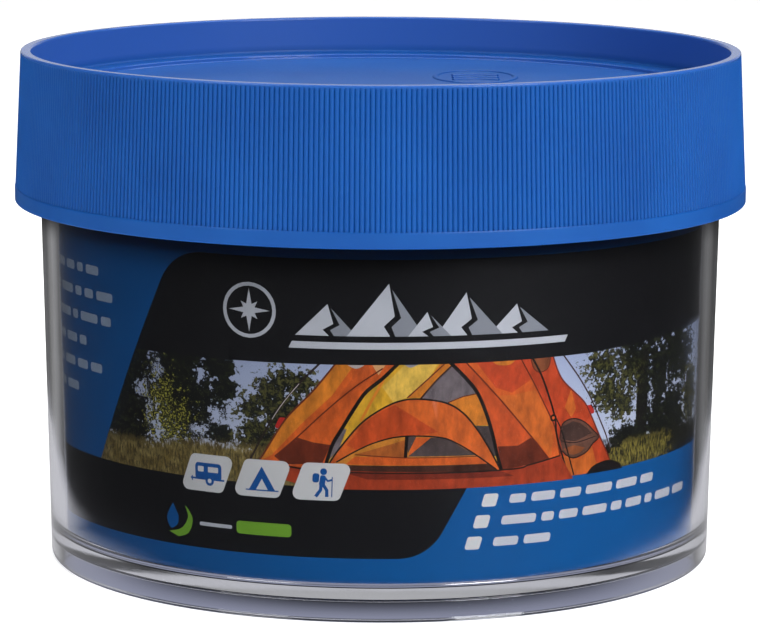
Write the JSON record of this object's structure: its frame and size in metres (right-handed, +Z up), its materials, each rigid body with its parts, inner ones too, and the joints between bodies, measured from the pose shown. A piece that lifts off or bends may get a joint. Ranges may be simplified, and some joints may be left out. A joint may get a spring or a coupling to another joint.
{
  "type": "storage jar",
  "caption": "Clear straight-sided storage jar with a ribbed blue screw lid, a hidden seal ring and a rolled printed label insert.",
  "frame": {"origin": "centre of the foot ring, on the surface that the jar stands on", "axes": "+Z up along the jar's axis; the label's front faces -Y; +X is to the right of someone facing it"},
  "size_m": [0.1246, 0.1246, 0.0866],
  "materials": {
    "clear_jar": "clear, polished",
    "lid_plastic": "moulded blue, satin",
    "seal_rubber": "soft, pale grey",
    "printed_card": "coated card, printed"
  },
  "bodies": {
    "jar": {"jar_body": "clear_jar", "label_insert": "printed_card"},
    "seal": {"seal_ring": "seal_rubber"},
    "lid": {"lid": "lid_plastic"}
  },
  "joints": [
    {"name": "lid_lift", "type": "slide", "parent": "jar", "child": "seal", "axis": [0, 0, 1], "range_m": [0, 0.00636]},
    {"name": "lid_turn", "type": "hinge", "parent": "seal", "child": "lid", "pos_m": [0, 0, 0.0766], "axis": [0, 0, 1], "range_deg": [0, 450]}
  ],
  "couplings": [
    {"joint": "lid_lift", "follows": "lid_turn", "m_per_rad": 0.00080851}
  ]
}
